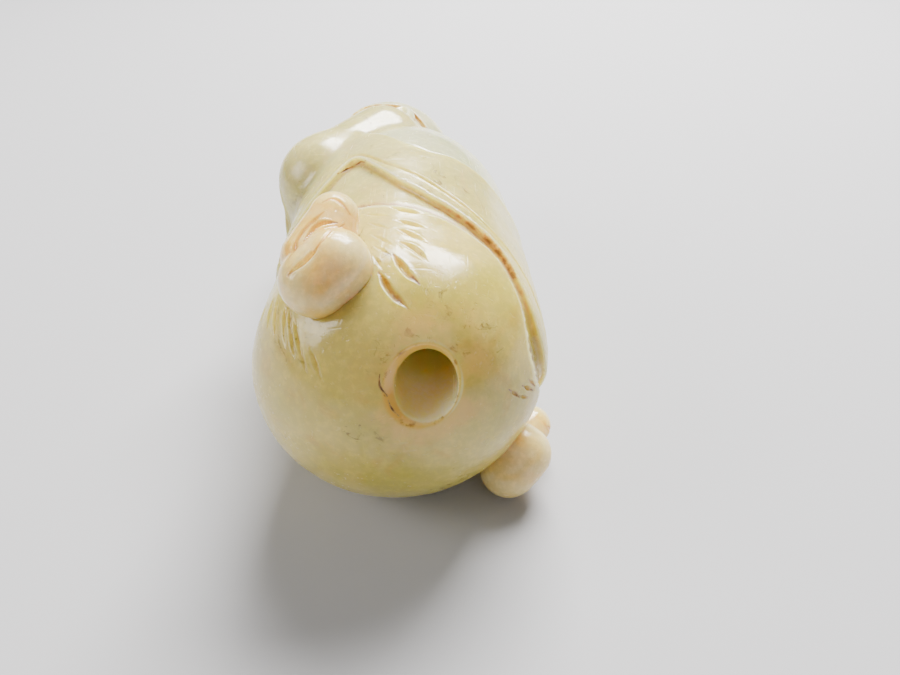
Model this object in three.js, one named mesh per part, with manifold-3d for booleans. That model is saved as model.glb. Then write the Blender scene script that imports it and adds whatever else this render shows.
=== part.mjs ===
// Small jade carving of a boy in baggy trousers and a jacket, lying on his right side.
// The real thing is one stone: each mesh is one of its carved forms, a thin gap from the next.
// Millimetres. Each form is made in the boy's own frame, x to his left, y from his feet to the
// top of his head and z to his front, with the origin at the middle of the trousers. The group
// at the end turns him on to his side, so +Z is up and z = 0 is the table.

import * as THREE from 'three';
import { mergeVertices } from 'three/addons/utils/BufferGeometryUtils.js';
import Module from 'manifold-3d';

// ---- driving dimensions ------------------------------------------------------------------------

const gap = 0.3; // between neighbouring forms
const lieAngle = 53.4; // degrees that the boy leans over from lying flat on his front
const restDepth = 0.25; // how much of the trousers the rest flat takes off
const arcStep = 10; // degrees between the points of a round outline
const largeSides = 32; // sides of a large round form, and so on down
const mediumSides = 20;
const smallSides = 12;

// trousers
const trouserHalfWidth = 14.8;
const trouserHalfDepth = 15.5;
const trouserSeatLength = 13.3; // from the widest level down to the seat
const trouserTaperLength = 20; // length of the curve above the widest level
const waistLevel = 8.6; // where the trousers end

// drilled hole in the seat
const boreRadius = 3;
const boreLeft = 3.75;
const boreBack = 6.7;
const boreFloor = 6; // level of the blind end
const mouthFlare = 0.5;
const mouthFlareLength = 2.6;

// inner robe, the band that shows between the trousers and the jacket
const robeLength = 2.4;
const robeInset = 0.6; // how far it stands inside the trouser rim

// jacket
const jacketHalfWidth = 14.2;
const jacketHalfLength = 22.5;
const jacketHalfDepth = 13.6;
const jacketCentre = new THREE.Vector3(1.2, 19, -0.9);
const jacketTop = 37.5; // behind the head

// sleeves: shoulder, elbow, hanging middle and wrist
const shoulderRadius = 5.6;
const elbowRadius = 5.4;
const drapeRadius = 6;
const wristRadius = 3.9;
const leftArm = {
  shoulder: new THREE.Vector3(9.5, 33, -2.5),
  elbow: new THREE.Vector3(12.6, 23.5, 3.2),
  drape: new THREE.Vector3(7.8, 23.5, 8),
  wrist: new THREE.Vector3(4, 24.5, 13.2),
};
const rightArm = {
  shoulder: new THREE.Vector3(-7.5, 33, -2.5),
  elbow: new THREE.Vector3(-9.4, 24, 3.5),
  drape: new THREE.Vector3(-5, 23, 8.8),
  wrist: new THREE.Vector3(-1.6, 25.5, 12.6),
};
const cuffRadius = 4.5;
const cuffLength = 1.6;
const handRadius = 3;

// head, turned to his left
const headHalfWidth = 9.8;
const headHalfHeight = 10.4;
const headHalfDepth = 10;
const headCentre = new THREE.Vector3(3.4, 43.8, 3.1);
const headTurn = 52; // degrees
const collarThickness = 1.6;
const collarLow = 35;
const collarHigh = 38.6;
const earHalfHeight = 2.9;
const earHalfDepth = 1.7;
const earHalfWidth = 1.5;
const tuftRadius = 2.4;
const tuftForward = 0.6; // of each tuft from the middle of the head
const tuftSpread = 5.6; // and out to its side

// shoes
const leftToeRadius = 4;
const leftToe = new THREE.Vector3(15.1, -4.1, -4.6);
const rightToeRadius = 4.05;
const rightToe = new THREE.Vector3(-16.55, -4.5, -4.1);
const upperRadius = 3.5;
const upperOffset = new THREE.Vector3(0.5, 3.8, -0.5); // of the shoe's upper from its toe
const upperHalfDepth = 4.1;

// ---- solids --------------------------------------------------------------------------------------

const wasm = await Module();
wasm.setup();

function toSolid(geometry) {
  const bare = geometry.clone();
  bare.deleteAttribute('normal');
  bare.deleteAttribute('uv');
  const merged = mergeVertices(bare, 1e-4);
  return new wasm.Manifold(new wasm.Mesh({
    numProp: 3,
    vertProperties: new Float32Array(merged.attributes.position.array),
    triVerts: new Uint32Array(merged.index.array),
  }));
}

function toGeometry(solid) {
  const mesh = solid.getMesh();
  const geometry = new THREE.BufferGeometry();
  geometry.setAttribute('position', new THREE.BufferAttribute(mesh.vertProperties, 3));
  geometry.setIndex(new THREE.BufferAttribute(mesh.triVerts, 1));
  geometry.computeVertexNormals();
  return geometry;
}

function ellipsoid(centre, halfWidth, halfLength, halfDepth, segments) {
  const sphere = new THREE.SphereGeometry(1, segments, segments / 2);
  sphere.scale(halfWidth, halfLength, halfDepth);
  sphere.translate(centre.x, centre.y, centre.z);
  return toSolid(sphere);
}

// A cone between two points with a ball of each end's radius round it.
function roundedCone(start, end, startRadius, endRadius, segments = smallSides) {
  const axis = new THREE.Vector3().subVectors(end, start);
  const length = axis.length();
  const lean = Math.asin((startRadius - endRadius) / length);
  const steps = segments / 4;
  const points = [];
  for (let i = 0; i <= steps; i += 1) {
    const angle = -Math.PI / 2 + (i / steps) * (Math.PI / 2 + lean);
    points.push(new THREE.Vector2(Math.cos(angle) * startRadius, Math.sin(angle) * startRadius));
  }
  for (let i = 0; i <= steps; i += 1) {
    const angle = lean + (i / steps) * (Math.PI / 2 - lean);
    points.push(new THREE.Vector2(Math.cos(angle) * endRadius, length + Math.sin(angle) * endRadius));
  }
  points[0].x = 0;
  points[points.length - 1].x = 0;
  const lathe = new THREE.LatheGeometry(points, segments);
  lathe.applyQuaternion(new THREE.Quaternion().setFromUnitVectors(
    new THREE.Vector3(0, 1, 0),
    axis.normalize(),
  ));
  lathe.translate(start.x, start.y, start.z);
  return toSolid(lathe);
}

function cylinder(centre, direction, radius, length, segments = mediumSides) {
  const tube = new THREE.CylinderGeometry(radius, radius, length, segments);
  tube.applyQuaternion(new THREE.Quaternion().setFromUnitVectors(
    new THREE.Vector3(0, 1, 0),
    direction.clone().normalize(),
  ));
  tube.translate(centre.x, centre.y, centre.z);
  return toSolid(tube);
}

// Everything between two levels of the boy's height.
function slab(lowLevel, highLevel) {
  const reach = 200;
  const box = new THREE.BoxGeometry(reach, highLevel - lowLevel, reach);
  box.translate(0, (lowLevel + highLevel) / 2, 0);
  return toSolid(box);
}

// ---- placing him on his side ---------------------------------------------------------------------

const turn = THREE.MathUtils.degToRad(180 + lieAngle);
const boyUp = new THREE.Vector3(-Math.sin(turn), 0, Math.cos(turn)); // the table's up, in his frame
const trouserReach = Math.hypot(trouserHalfWidth * boyUp.x, trouserHalfDepth * boyUp.z);
const axisHeight = trouserReach - restDepth;

// The space under the table's top, in his frame.
function table() {
  const reach = 200;
  const box = new THREE.BoxGeometry(reach, reach, reach);
  box.applyQuaternion(new THREE.Quaternion().setFromUnitVectors(new THREE.Vector3(0, 1, 0), boyUp));
  const drop = boyUp.clone().multiplyScalar(-axisHeight - reach / 2);
  box.translate(drop.x, drop.y, drop.z);
  return toSolid(box);
}

// ---- the forms -----------------------------------------------------------------------------------

function trouserOutline(level) {
  const share = level < 0 ? level / trouserSeatLength : level / trouserTaperLength;
  return Math.sqrt(Math.max(0, 1 - share * share));
}

function trouserBlank() {
  const points = [];
  for (let angle = -90; angle < 0; angle += arcStep) {
    const turned = THREE.MathUtils.degToRad(angle);
    points.push(new THREE.Vector2(Math.cos(turned), Math.sin(turned) * trouserSeatLength));
  }
  const topSteps = 5;
  for (let i = 0; i <= topSteps; i += 1) {
    const level = (waistLevel * i) / topSteps;
    points.push(new THREE.Vector2(trouserOutline(level), level));
  }
  points[0].x = 0;
  points.push(new THREE.Vector2(0, waistLevel));
  const lathe = new THREE.LatheGeometry(points, largeSides);
  lathe.scale(trouserHalfWidth, 1, trouserHalfDepth);
  return toSolid(lathe);
}

// The blind hole, with a short flare where it meets the seat.
function bore() {
  const below = trouserSeatLength + 5;
  const shareOut = Math.hypot(boreLeft / trouserHalfWidth, boreBack / trouserHalfDepth);
  const mouthLevel = -trouserSeatLength * Math.sqrt(1 - shareOut * shareOut);
  const flareRate = mouthFlare / mouthFlareLength;
  const flareTop = mouthLevel + mouthFlareLength / 2;
  const outerRadius = boreRadius + flareRate * (flareTop + below);
  const points = [
    new THREE.Vector2(0, -below),
    new THREE.Vector2(outerRadius, -below),
    new THREE.Vector2(boreRadius, flareTop),
    new THREE.Vector2(boreRadius, boreFloor - 1),
    new THREE.Vector2(boreRadius * 0.7, boreFloor - 0.3),
    new THREE.Vector2(0, boreFloor),
  ];
  const lathe = new THREE.LatheGeometry(points, mediumSides);
  lathe.translate(boreLeft, 0, -boreBack);
  return toSolid(lathe);
}

function shoeToe(toe, radius, extra) {
  return ellipsoid(toe, radius + extra, radius + extra, radius + extra, mediumSides);
}

function shoeUpper(toe, side, extra) {
  const centre = toe.clone().add(new THREE.Vector3(upperOffset.x * side, upperOffset.y, upperOffset.z));
  return ellipsoid(centre, upperRadius + extra, upperRadius + extra, upperHalfDepth + extra, mediumSides);
}

function makeTrousers() {
  return trouserBlank()
    .subtract(bore())
    .subtract(shoeToe(leftToe, leftToeRadius, gap))
    .subtract(shoeUpper(leftToe, 1, gap))
    .subtract(shoeToe(rightToe, rightToeRadius, gap))
    .subtract(shoeUpper(rightToe, -1, gap))
    .subtract(table());
}

function makeShoeUpper(toe, toeRadius, side) {
  return shoeUpper(toe, side, 0)
    .subtract(shoeToe(toe, toeRadius, gap))
    .subtract(table());
}

const robeTop = waistLevel + gap + robeLength;

function makeInnerRobe() {
  const rim = trouserOutline(waistLevel);
  const centre = new THREE.Vector3(0, 0, 0);
  const column = ellipsoid(
    centre,
    trouserHalfWidth * rim - robeInset,
    3 * trouserTaperLength,
    trouserHalfDepth * rim - robeInset,
    largeSides,
  );
  return column.intersect(slab(waistLevel + gap, robeTop)).subtract(table());
}

function sleeve(arm, extra) {
  return roundedCone(arm.shoulder, arm.elbow, shoulderRadius + extra, elbowRadius + extra)
    .add(roundedCone(arm.elbow, arm.drape, elbowRadius + extra, drapeRadius + extra))
    .add(roundedCone(arm.drape, arm.wrist, drapeRadius + extra, wristRadius + extra));
}

// The cuff is a short drum round the wrist, and the hand comes out of it.
function wristLine(arm) {
  return new THREE.Vector3().subVectors(arm.wrist, arm.drape).normalize();
}

function cuff(arm, extra) {
  const centre = arm.wrist.clone().addScaledVector(wristLine(arm), wristRadius * 0.55);
  return cylinder(centre, wristLine(arm), cuffRadius + extra, cuffLength + 2 * extra);
}

function hand(arm, extra) {
  const out = wristRadius * 0.55 + cuffLength / 2 + handRadius * 0.55;
  const centre = arm.wrist.clone().addScaledVector(wristLine(arm), out);
  return ellipsoid(centre, handRadius + extra, handRadius + extra, handRadius + extra, smallSides);
}

// The half of space on his side of the line where the two arms meet.
function armSide(side) {
  const reach = 200;
  const meet = (leftArm.wrist.x + rightArm.wrist.x) / 2;
  const box = new THREE.BoxGeometry(reach, reach, reach);
  box.translate(meet + side * (reach / 2 + gap / 2), 0, 0);
  return toSolid(box);
}

function makeSleeve(arm, side) {
  return sleeve(arm, 0)
    .subtract(cuff(arm, gap))
    .subtract(hand(arm, gap))
    .intersect(armSide(side))
    .subtract(headForm(gap))
    .subtract(table());
}

function makeCuff(arm, side) {
  return cuff(arm, 0)
    .subtract(hand(arm, gap))
    .intersect(armSide(side))
    .subtract(headForm(gap));
}

function makeHand(arm, side) {
  return hand(arm, 0).intersect(armSide(side));
}

function headForm(extra) {
  return ellipsoid(
    headCentre,
    headHalfWidth + extra,
    headHalfHeight + extra,
    headHalfDepth + extra,
    largeSides,
  );
}

// A band that hugs the bottom of the head.
function makeCollar() {
  return headForm(gap + collarThickness)
    .intersect(slab(collarLow, collarHigh))
    .subtract(headForm(gap))
    .subtract(sleeve(leftArm, gap))
    .subtract(sleeve(rightArm, gap));
}

function makeJacket() {
  return ellipsoid(jacketCentre, jacketHalfWidth, jacketHalfLength, jacketHalfDepth, largeSides)
    .intersect(slab(robeTop + gap, jacketTop))
    .subtract(sleeve(leftArm, gap))
    .subtract(sleeve(rightArm, gap))
    .subtract(headForm(gap + collarThickness + gap))
    .subtract(cuff(leftArm, gap))
    .subtract(cuff(rightArm, gap))
    .subtract(hand(leftArm, gap))
    .subtract(hand(rightArm, gap))
    .subtract(table());
}

// A point on the head, given as shares of its half sizes, turned with the face.
function onHead(across, up, forward) {
  const local = new THREE.Vector3(across, up, forward);
  local.applyAxisAngle(new THREE.Vector3(0, 1, 0), THREE.MathUtils.degToRad(headTurn));
  return local.add(headCentre);
}

function makeEar(side) {
  const middle = onHead(side * headHalfWidth, -1, -0.6);
  const ear = new THREE.SphereGeometry(1, smallSides, smallSides / 2);
  ear.scale(earHalfWidth, earHalfHeight, earHalfDepth);
  ear.rotateY(THREE.MathUtils.degToRad(headTurn));
  ear.translate(middle.x, middle.y, middle.z);
  return toSolid(ear).subtract(headForm(gap));
}

function makeTuft(side) {
  const middle = onHead(side * tuftSpread, headHalfHeight * 0.78, tuftForward);
  return ellipsoid(middle, tuftRadius, tuftRadius, tuftRadius, smallSides).subtract(headForm(gap));
}

// ---- stone colours and the scene graph -----------------------------------------------------------

function stone(colour, roughness) {
  return new THREE.MeshStandardMaterial({ color: colour, roughness, metalness: 0 });
}

const paleJade = stone(0xcfd2b4, 0.25);
const yellowJade = stone(0xc9c08c, 0.25);
const creamJade = stone(0xdcc9a6, 0.25);

const boy = new THREE.Group();
boy.rotation.y = turn;
boy.position.z = axisHeight;

function place(name, solid, material) {
  const mesh = new THREE.Mesh(toGeometry(solid), material);
  mesh.name = name;
  boy.add(mesh);
}

place('trousers', makeTrousers(), yellowJade);
place('inner_robe', makeInnerRobe(), yellowJade);
place('jacket', makeJacket(), paleJade);
place('collar', makeCollar(), paleJade);
place('head', headForm(0).subtract(table()), paleJade);
place('left_shoe_toe', shoeToe(leftToe, leftToeRadius, 0), creamJade);
place('right_shoe_toe', shoeToe(rightToe, rightToeRadius, 0).subtract(table()), creamJade);
place('left_shoe_upper', makeShoeUpper(leftToe, leftToeRadius, 1), creamJade);
place('right_shoe_upper', makeShoeUpper(rightToe, rightToeRadius, -1), creamJade);

for (const [word, arm, side] of [['left', leftArm, 1], ['right', rightArm, -1]]) {
  place(`${word}_sleeve`, makeSleeve(arm, side), yellowJade);
  place(`${word}_cuff`, makeCuff(arm, side), paleJade);
  place(`${word}_hand`, makeHand(arm, side), paleJade);
  place(`${word}_ear`, makeEar(side), paleJade);
  place(`${word}_hair_tuft`, makeTuft(side), paleJade);
}

// The origin is the middle of his footprint on the table.
const footprint = new THREE.Box3().setFromObject(boy, true);
const middle = footprint.getCenter(new THREE.Vector3());
boy.position.x -= middle.x;
boy.position.y -= middle.y;

const group = new THREE.Group();
group.add(boy);

export default group;
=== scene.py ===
"""A small jade carving of a boy in baggy trousers and a jacket, lying on his side.

Each piece of the stone is a whole form of parts that melt into each other: the body, the head,
the clasped hands and the two shoes. Incised lines are then cut along guide lines by a node tree.
Lengths are in metres, except in the carving sections, which work in the boy's own frame in mm.
"""

import math
from collections import namedtuple

import bmesh
import bpy
import numpy as np
from mathutils import Matrix, Vector, kdtree


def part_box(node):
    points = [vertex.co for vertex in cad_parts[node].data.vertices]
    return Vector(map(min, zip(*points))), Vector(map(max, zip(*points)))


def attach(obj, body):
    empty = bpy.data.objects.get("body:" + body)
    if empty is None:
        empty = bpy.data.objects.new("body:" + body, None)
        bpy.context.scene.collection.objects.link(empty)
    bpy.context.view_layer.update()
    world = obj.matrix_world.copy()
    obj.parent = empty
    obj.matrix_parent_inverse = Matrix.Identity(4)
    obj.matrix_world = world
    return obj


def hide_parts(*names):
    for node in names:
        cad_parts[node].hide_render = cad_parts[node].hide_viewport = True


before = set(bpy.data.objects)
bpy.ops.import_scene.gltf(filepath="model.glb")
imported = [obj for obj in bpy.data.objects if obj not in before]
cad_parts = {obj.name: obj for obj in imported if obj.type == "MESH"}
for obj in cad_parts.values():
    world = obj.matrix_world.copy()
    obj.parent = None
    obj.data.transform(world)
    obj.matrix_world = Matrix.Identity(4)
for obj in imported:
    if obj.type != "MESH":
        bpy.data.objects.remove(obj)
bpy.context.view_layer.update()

mm = 0.001

# ---- where the boy lies, taken from the frame ----

lie_turn = math.radians(180 + 53.4)  # from standing in his own frame to lying on his side
boy_turn = Matrix.Rotation(lie_turn, 3, "Y")
frame_toe = Vector((15.1, -4.1, -4.6)) * mm  # middle of the left toe, in his own frame
toe_low, toe_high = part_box("left_shoe_toe")
boy_origin = (toe_low + toe_high) / 2 - boy_turn @ frame_toe
table_height = boy_origin.z / mm  # of the boy's axis above the table


def to_frame(points):
    """Points in the boy's own frame, in mm, to the part's frame, in metres."""
    turned = points @ np.array(boy_turn).T
    return turned * mm + np.array(boy_origin)


def put(thing):
    """Places an object in the scene."""
    bpy.context.scene.collection.objects.link(thing)


# ---- camera, floor and lights ----

sensor_width = 36.0
lens_length = 27.04
camera_pitch = math.radians(40)
camera_from_boy = Vector((5.38, -53.5, 48.4)) * mm


def make_camera():
    data = bpy.data.cameras.new("camera")
    data.sensor_width = sensor_width
    data.lens = lens_length
    data.clip_start = 0.002
    camera = bpy.data.objects.new("camera", data)
    camera.location = boy_origin + camera_from_boy
    camera.rotation_euler = (math.pi / 2 - camera_pitch, 0, 0)
    put(camera)
    bpy.context.scene.camera = camera


def make_floor():
    half = 3.0  # of its width
    mesh = bpy.data.meshes.new("floor")
    corners = [(-half, -half, 0), (half, -half, 0), (half, half, 0), (-half, half, 0)]
    mesh.from_pydata(corners, [], [(0, 1, 2, 3)])
    floor = bpy.data.objects.new("floor", mesh)
    material = bpy.data.materials.new("floor_paper")
    material.use_nodes = True
    shader = material.node_tree.nodes["Principled BSDF"]
    shader.inputs["Base Color"].default_value = (0.5, 0.5, 0.52, 1)
    shader.inputs["Roughness"].default_value = 0.75
    mesh.materials.append(material)
    put(floor)


def make_light(name, toward, distance, size, power, colour):
    """An area light that looks at the boy from a direction."""
    data = bpy.data.lights.new(name, "AREA")
    data.shape = "RECTANGLE"
    data.size = size[0]
    data.size_y = size[1]
    data.energy = power
    data.color = colour
    light = bpy.data.objects.new(name, data)
    direction = Vector(toward).normalized()
    light.location = boy_origin + direction * distance
    light.rotation_mode = "QUATERNION"
    light.rotation_quaternion = direction.to_track_quat("Z", "Y")
    put(light)


def make_studio():
    make_light("window", (0.2, 0.62, 0.74), 0.45, (0.3, 0.2), 9.0, (1.0, 0.985, 0.96))
    make_light("side", (-0.9, -0.1, 0.55), 0.5, (0.25, 0.25), 1.6, (1.0, 0.96, 0.9))
    make_light("front", (0.35, -0.85, 0.8), 0.6, (0.5, 0.4), 0.5, (0.97, 0.98, 1.0))
    world = bpy.data.worlds.new("studio")
    world.use_nodes = True
    background = world.node_tree.nodes["Background"]
    background.inputs["Color"].default_value = (0.78, 0.8, 0.84, 1)
    background.inputs["Strength"].default_value = 0.16
    bpy.context.scene.world = world


# ---- the stone's form, in the boy's own frame, in mm ----
# x runs to his left, y from his feet to the top of his head and z to his front. The origin is
# the middle of the trousers. Each function gives the distance from points to a surface, and
# inside is negative.

seat_half_width = 14.8
seat_half_depth = 15.5
seat_length = 13.3
taper_length = 20.0
jacket_middle = (1.2, 19.0, -0.9)
jacket_half_sizes = (14.2, 22.5, 13.6)
hip_fillet = 6.0
cloth_step = 0.45  # how far one layer of clothing stands above the next
cloth_tuck = 0.15  # how far a layer lies in below the surface it follows
hem_slope = 0.8  # of a hem's edge: the smaller, the more it leans
rim_slope = 0.6
left_toe = (15.3, -4.0, -4.3)
right_toe = (-16.3, -4.5, -4.1)
left_toe_radius = 3.8
right_toe_radius = 3.75
bore_left = 3.55
bore_back = 6.75
bore_radius = 2.8
bore_floor = 6.0
flare_width = 1.0  # of the countersunk part of the mouth, all of it to one side
flare_slope = 1.15
flare_floor = -8.0
bore_mouth = -11.6  # the level where the bore comes out


def row(numbers):
    return np.array(numbers, dtype=np.float32)


def length_of(vectors):
    return np.sqrt(np.einsum("ij,ij->i", vectors, vectors))


def ellipsoid(points, centre, half_sizes):
    offset = points - row(centre)
    sizes = row(half_sizes)
    near = length_of(offset / sizes)
    slope = length_of(offset / (sizes * sizes))
    return near * (near - 1.0) / np.maximum(slope, 1e-6)


def tapered_bar(points, start, end, start_radius, end_radius):
    first = row(start)
    along = row(end) - first
    share = np.clip(((points - first) @ along) / (along @ along), 0.0, 1.0)
    nearest = first + share[:, None] * along
    return length_of(points - nearest) - (start_radius + (end_radius - start_radius) * share)


def melt(first, second, width):
    """Joins two forms with a fillet of about this width."""
    share = np.clip(0.5 + 0.5 * (second - first) / width, 0.0, 1.0)
    return second + (first - second) * share - width * share * (1.0 - share)


def cut_from(form, tool, width):
    """Takes the tool away from the form, with the edge rounded over this width."""
    return -melt(-form, tool, width)


def angle_from_back(points):
    """Degrees round the body: 0 straight behind him, 90 at his left, -90 at his right."""
    across = points[:, 0] - jacket_middle[0]
    behind = jacket_middle[2] - points[:, 2]
    return np.degrees(np.arctan2(across, behind))


def level_at(angles, stops):
    """The level at each angle, straight between (angle, level) stops."""
    stop_angles, levels = zip(*stops)
    return np.interp(angles, stop_angles, levels, period=360.0)


def level_round_body(points, stops):
    """A level up the body that follows (angle from back, level) stops, eased between them."""
    fine_angles = np.linspace(-180.0, 180.0, 721)
    fine_levels = level_at(fine_angles, stops)
    blur = np.hanning(17)
    wrapped = np.concatenate((fine_levels[-9:-1], fine_levels, fine_levels[1:9]))
    eased = np.convolve(wrapped, blur / blur.sum(), mode="valid")
    return np.interp(angle_from_back(points), fine_angles, eased).astype(np.float32)


# The trousers' rim, the jacket's hem with its slit over the left shoe, the border line above the
# hem, and the waist crease, each as (angle from back, level) stops.
rim_stops = (
    (-150, 7.6), (-105, 6.4), (-80, 2.6), (-60, -2.4), (-31, -5.3), (-17, -4.9), (-9, -3.6),
    (-1, -1.0), (5, 1.2), (12, 2.9), (22, 4.1), (35, 5.4), (48, 6.3), (67, 7.0), (125, 8.0),
)
hem_stops = (
    (-150, 9.8), (-105, 8.6), (-80, 5.4), (-60, 0.2), (-31, -3.4), (-17, -2.8), (-9, -1.3),
    (-1, 1.3), (5, 3.3), (12, 4.7), (20, 5.7), (26, 6.5), (39, 8.3), (53, 11.1), (66, 15.2),
    (73, 17.7), (77, 17.9), (81, 16.9), (86, 15.4), (92, 14.0), (105, 11.6), (125, 10.2),
)
border_stops = (
    (-180, 12.0), (-80, 8.0), (-60, 2.6), (-40, -0.8), (-22, -0.1), (-12, 1.9), (-5, 3.3),
    (4, 4.9), (12, 6.1), (21, 7.8), (31, 9.4), (44, 11.9), (60, 14.8), (68, 17.0), (73, 18.3),
    (78, 18.4), (83, 17.2), (92, 15.2), (105, 12.8), (125, 11.4),
)
waist_stops = (
    (-150, 20.0), (-60, 17.5), (-20, 16.6), (-1, 17.2), (13, 18.9), (28, 19.4), (40, 18.6),
    (52, 20.1), (60, 22.5), (80, 27.0), (110, 27.0), (150, 22.0),
)


def trouser_ball(points):
    stretched = points.copy()
    above = stretched[:, 1] > 0
    stretched[above, 1] *= seat_length / taper_length
    return ellipsoid(stretched, (0, 0, 0), (seat_half_width, seat_length, seat_half_depth))


def leg_parting(points):
    """The shallow valley between his knees, at the front only."""
    across = (points[:, 0] - 1.0) / 2.4
    front = np.clip((points[:, 2] - 5.0) / 8.0, 0.0, 1.0)
    lap = np.clip((points[:, 1] + 1.0) / 6.0, 0.0, 1.0)
    return 1.1 * lap * np.exp(-across * across) * front * front * (3.0 - 2.0 * front)


def clothed_body(points):
    """Trousers, the band under the jacket, and the jacket, each a step above the last."""
    ball = trouser_ball(points) + leg_parting(points)
    torso = ellipsoid(points, jacket_middle, jacket_half_sizes)
    hips = melt(ball, torso, hip_fillet)
    level = points[:, 1]
    hem = level_round_body(points, hem_stops)
    waist = level_round_body(points, waist_stops)
    rim = level_round_body(points, rim_stops)
    under = hips + cloth_step
    trousers = np.maximum(melt(ball, hips + cloth_tuck, 0.5), (level - rim) * rim_slope)
    skirt = np.maximum(hips - cloth_step * 0.8, (hem - level) * hem_slope)
    skirt = np.maximum(skirt, (level - waist) * hem_slope)
    back = np.maximum(torso + cloth_tuck, hem - level)
    body = melt(under, trousers, 0.5)
    body = melt(body, back, 0.5)
    return melt(body, skirt, 0.35)


shoulder_radius = 5.6
elbow_radius = 5.6
drape_radius = 5.6
wrist_radius = 3.9
left_arm = ((9.5, 33, -2.5), (12.7, 24.6, 3.0), (7.4, 24.4, 7.4), (4, 24.5, 13.2))
right_arm = ((-7.5, 33, -2.5), (-9.4, 24, 3.5), (-5.2, 23, 9.2), (-1.6, 25.5, 12.6))


def sleeve(points, arm):
    shoulder, elbow, drape, wrist = arm
    upper = tapered_bar(points, shoulder, elbow, shoulder_radius, elbow_radius)
    middle = tapered_bar(points, elbow, drape, elbow_radius, drape_radius)
    lower = tapered_bar(points, drape, wrist, drape_radius, wrist_radius)
    return melt(melt(upper, middle, 2.0), lower, 1.5)


def shoe(points, toe, radius, out):
    """A long round toe and a peaked upper behind it. out is 1 on the left, -1 on the right."""
    x, y, z = toe
    toe_front = (x - 0.3 * out, y - 0.7, z + 1.2)
    toe_back = (x - 0.4 * out, y + 0.3, z - 1.0)
    cap = tapered_bar(points, toe_front, toe_back, radius * 0.86, radius * 0.82)
    low = (x + 0.1 * out, y + 2.2, z + 1.0)
    peak = (x + 1.3 * out, y + 5.5, z - 1.4)
    upper = tapered_bar(points, low, peak, radius * 0.91, radius * 0.62)
    ankle_start = (x - 7.0 * out, y + 3.0, z + 2.0)
    ankle_end = (x - 1.5 * out, y + 1.0, z)
    ankle = tapered_bar(points, ankle_start, ankle_end, radius * 0.8, radius * 0.86)
    return melt(melt(cap, upper, 0.15), ankle, 0.6)


def from_bore_axes(points):
    """How far the points are from the bore's own axis and from its flare's."""
    across = points[:, 0] - bore_left
    back = points[:, 2] + bore_back
    from_flare = np.sqrt((across - flare_width / 2) ** 2 + (back - 0.1) ** 2)
    return np.sqrt(across**2 + back**2), from_flare


def bore(points):
    """The blind hole in the seat, flared where it comes out, more so to one side."""
    along = points[:, 1]
    from_bore, from_flare = from_bore_axes(points)
    straight = np.maximum(from_bore - bore_radius, along - bore_floor)
    flare_radius = bore_radius + flare_width / 2 + trouser_ball(points) * flare_slope
    flare = from_flare - flare_radius
    return melt(straight, np.maximum(flare * 0.7, along - flare_floor), 0.12)


cuff_radius = 4.4
cuff_length = 1.5
cuff_wall = 1.1
cuff_edge = 0.5
cuff_reach = 0.55  # of the wrist's radius, from the end of the arm's line to the cuff's middle


def wrist_line(arm):
    direction = row(arm[3]) - row(arm[2])
    return direction / np.linalg.norm(direction)


def cuff(points, arm):
    """A rolled band round the wrist, with a hollow in its end for the hand."""
    direction = wrist_line(arm)
    centre = row(arm[3]) + direction * (wrist_radius * cuff_reach)
    offset = points - centre
    along = offset @ direction
    out = np.sqrt(np.maximum(np.einsum("ij,ij->i", offset, offset) - along * along, 0.0))
    beyond = out - cuff_radius + cuff_edge
    past = np.abs(along) - cuff_length / 2 + cuff_edge
    corner = np.sqrt(np.maximum(beyond, 0.0) ** 2 + np.maximum(past, 0.0) ** 2)
    band = np.minimum(np.maximum(beyond, past), 0.0) + corner - cuff_edge
    hollow = np.maximum(out - cuff_radius + cuff_wall, cuff_length * 0.2 - along)
    return cut_from(band, hollow, 0.3)


def body_form(points):
    body = clothed_body(points)
    arms = np.minimum(sleeve(points, left_arm), sleeve(points, right_arm))
    body = melt(body, arms, 1.0)
    cuffs = np.minimum(cuff(points, left_arm), cuff(points, right_arm))
    body = melt(body, cuffs, 0.25)
    body = cut_from(body, bore(points), 0.16)
    return rest_on_table(body, points)


def left_shoe_form(points):
    return rest_on_table(shoe(points, left_toe, left_toe_radius, 1), points)


def right_shoe_form(points):
    return rest_on_table(shoe(points, right_toe, right_toe_radius, -1), points)


def rest_on_table(form, points):
    """Nothing goes below the table, and where he rests the stone is worn a little flat."""
    height = table_height + points @ row(boy_turn.row[2])
    return cut_from(form, height, 0.1)


# ---- head ----
# The face is made in a frame of its own: x to his left, y up and z out of the face.

head_centre = (3.4, 43.1, 3.1)
head_half_sizes = (9.8, 10.6, 10.0)
head_turn = math.radians(52)
eye_across = 3.35
eye_level = -0.9
brow_level = 2.0
nose_level = -3.3
mouth_level = -5.5
ear_across = 9.7
tuft_across = 5.4
tuft_level = 7.9
tuft_back = 0.6
tuft_radius = 2.2
neck_level = 34.0
collar_half_height = 1.3
collar_stand = 1.1  # how far the collar stands off the head
hairline_stops = (
    (-180, -5.2), (-145, -4.4), (-115, -1.0), (-95, 2.0), (-75, 2.4), (-50, 3.9), (-25, 5.2),
    (0, 5.9), (25, 5.2), (50, 3.9), (75, 2.4), (95, 2.0), (115, -1.0), (145, -4.4),
)


def head_axes():
    turned = Matrix.Rotation(head_turn, 3, "Y")
    return row(turned)


def to_face(points):
    return (points - row(head_centre)) @ head_axes()


def from_face(points):
    return points @ head_axes().T + row(head_centre)


def skull(face):
    crown = ellipsoid(face, (0, 1.2, -0.6), (9.5, 9.4, 9.4))
    jaw = ellipsoid(face, (0, -3.4, 0.9), (8.3, 7.0, 8.1))
    return melt(crown, jaw, 3.0)


def hairline_level(face):
    return level_at(np.degrees(np.arctan2(face[:, 0], face[:, 2])), hairline_stops)


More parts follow.
